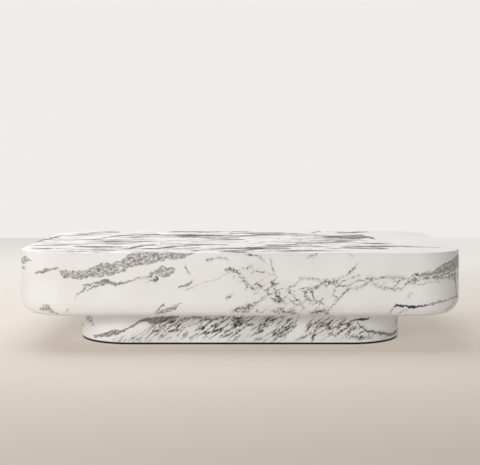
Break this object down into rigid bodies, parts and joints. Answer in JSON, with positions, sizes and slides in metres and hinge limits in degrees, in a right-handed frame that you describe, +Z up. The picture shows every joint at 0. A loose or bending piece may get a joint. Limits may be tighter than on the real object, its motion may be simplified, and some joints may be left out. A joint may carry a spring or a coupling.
{
  "type": "coffee table",
  "caption": "Low marble coffee table: a thick block with rounded corners and a soft lower edge on a smaller rounded plinth, stone on a timber carcass with levelling feet.",
  "frame": {"origin": "on the floor, under the centre of the table", "axes": "+X along the table's length, +Y from its front to its back, +Z up"},
  "size_m": [1.524, 0.914, 0.341],
  "materials": {
    "white_marble": "polished white marble with grey and black veins",
    "birch_plywood": "sanded birch plywood",
    "black_plywood": "plywood sealed matt black",
    "softwood": "planed softwood",
    "zinc_plated_steel": "bright zinc plate",
    "black_nylon": "moulded nylon"
  },
  "bodies": {
    "table": {"access_caps": "black_nylon", "apron_back": "white_marble", "apron_corner_back_left": "white_marble", "apron_corner_back_right": "white_marble", "apron_corner_front_left": "white_marble", "apron_corner_front_right": "white_marble", "apron_front": "white_marble", "apron_left": "white_marble", "apron_right": "white_marble", "bolt_washers": "zinc_plated_steel", "cross_rib_1": "birch_plywood", "cross_rib_2": "birch_plywood", "cross_rib_3": "birch_plywood", "cross_rib_4": "birch_plywood", "edge_strip_back": "white_marble", "edge_strip_corner_back_left": "white_marble", "edge_strip_corner_back_right": "white_marble", "edge_strip_corner_front_left": "white_marble", "edge_strip_corner_front_right": "white_marble", "edge_strip_front": "white_marble", "edge_strip_left": "white_marble", "edge_strip_right": "white_marble", "foot_inserts": "zinc_plated_steel", "joining_bolts": "zinc_plated_steel", "long_rib_back": "birch_plywood", "long_rib_front": "birch_plywood", "plinth_back": "white_marble", "plinth_base_board": "black_plywood", "plinth_corner_back_left": "white_marble", "plinth_corner_back_right": "white_marble", "plinth_corner_front_left": "white_marble", "plinth_corner_front_right": "white_marble", "plinth_cross_web_1": "birch_plywood", "plinth_cross_web_2": "birch_plywood", "plinth_cross_web_3": "birch_plywood", "plinth_cross_web_4": "birch_plywood", "plinth_front": "white_marble", "plinth_head_board": "birch_plywood", "plinth_left": "white_marble", "plinth_long_web_back": "birch_plywood", "plinth_long_web_front": "birch_plywood", "plinth_right": "white_marble", "rail_back": "softwood", "rail_front": "softwood", "rail_left": "softwood", "rail_right": "softwood", "soffit_panel": "white_marble", "tee_nuts": "zinc_plated_steel", "top_deck": "birch_plywood", "top_slab": "white_marble", "under_deck": "birch_plywood"},
    "front_left_pad": {"foot_pad_front_left": "black_nylon"},
    "front_right_pad": {"foot_pad_front_right": "black_nylon"},
    "back_left_pad": {"foot_pad_back_left": "black_nylon"},
    "back_right_pad": {"foot_pad_back_right": "black_nylon"},
    "front_left_stud": {"foot_stud_front_left": "zinc_plated_steel"},
    "front_right_stud": {"foot_stud_front_right": "zinc_plated_steel"},
    "back_left_stud": {"foot_stud_back_left": "zinc_plated_steel"},
    "back_right_stud": {"foot_stud_back_right": "zinc_plated_steel"}
  },
  "joints": [
    {"name": "front_left_pad_travel", "type": "slide", "parent": "table", "child": "front_left_pad", "axis": [0, 0, -1], "range_m": [0, 0.012]},
    {"name": "front_right_pad_travel", "type": "slide", "parent": "table", "child": "front_right_pad", "axis": [0, 0, -1], "range_m": [0, 0.012]},
    {"name": "back_left_pad_travel", "type": "slide", "parent": "table", "child": "back_left_pad", "axis": [0, 0, -1], "range_m": [0, 0.012]},
    {"name": "back_right_pad_travel", "type": "slide", "parent": "table", "child": "back_right_pad", "axis": [0, 0, -1], "range_m": [0, 0.012]},
    {"name": "front_left_stud_turn", "type": "hinge", "parent": "front_left_pad", "child": "front_left_stud", "pos_m": [-0.48246, -0.17746, 0], "axis": [0, 0, -1], "range_deg": [0, 2880]},
    {"name": "front_right_stud_turn", "type": "hinge", "parent": "front_right_pad", "child": "front_right_stud", "pos_m": [0.48246, -0.17746, 0], "axis": [0, 0, -1], "range_deg": [0, 2880]},
    {"name": "back_left_stud_turn", "type": "hinge", "parent": "back_left_pad", "child": "back_left_stud", "pos_m": [-0.48246, 0.17746, 0], "axis": [0, 0, -1], "range_deg": [0, 2880]},
    {"name": "back_right_stud_turn", "type": "hinge", "parent": "back_right_pad", "child": "back_right_stud", "pos_m": [0.48246, 0.17746, 0], "axis": [0, 0, -1], "range_deg": [0, 2880]}
  ],
  "couplings": [
    {"joint": "front_left_stud_turn", "follows": "front_left_pad_travel", "rad_per_m": 4188.8},
    {"joint": "front_right_stud_turn", "follows": "front_right_pad_travel", "rad_per_m": 4188.8},
    {"joint": "back_left_stud_turn", "follows": "back_left_pad_travel", "rad_per_m": 4188.8},
    {"joint": "back_right_stud_turn", "follows": "back_right_pad_travel", "rad_per_m": 4188.8}
  ]
}
